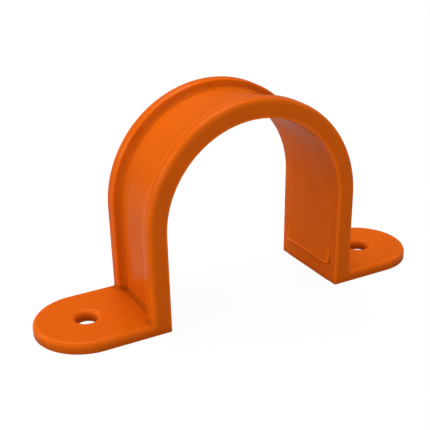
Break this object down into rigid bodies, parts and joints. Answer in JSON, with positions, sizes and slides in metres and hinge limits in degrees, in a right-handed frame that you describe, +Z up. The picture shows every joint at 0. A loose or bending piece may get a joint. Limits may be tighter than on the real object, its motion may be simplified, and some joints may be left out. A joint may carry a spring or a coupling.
{
  "type": "conduit clamp",
  "caption": "Moulded full saddle clamp for rigid conduit: a ribbed arch on straight legs, with a flat screw lug on each side.",
  "frame": {"origin": "on the mounting surface, under the middle of the saddle", "axes": "+X along the two lugs, +Y along the conduit, +Z up, away from the mounting surface"},
  "size_m": [0.112, 0.0264, 0.0561],
  "materials": {
    "orange_plastic": "smooth moulded plastic, satin to gloss, one solid orange all through"
  },
  "bodies": {
    "root": {"saddle": "orange_plastic"}
  },
  "joints": []
}
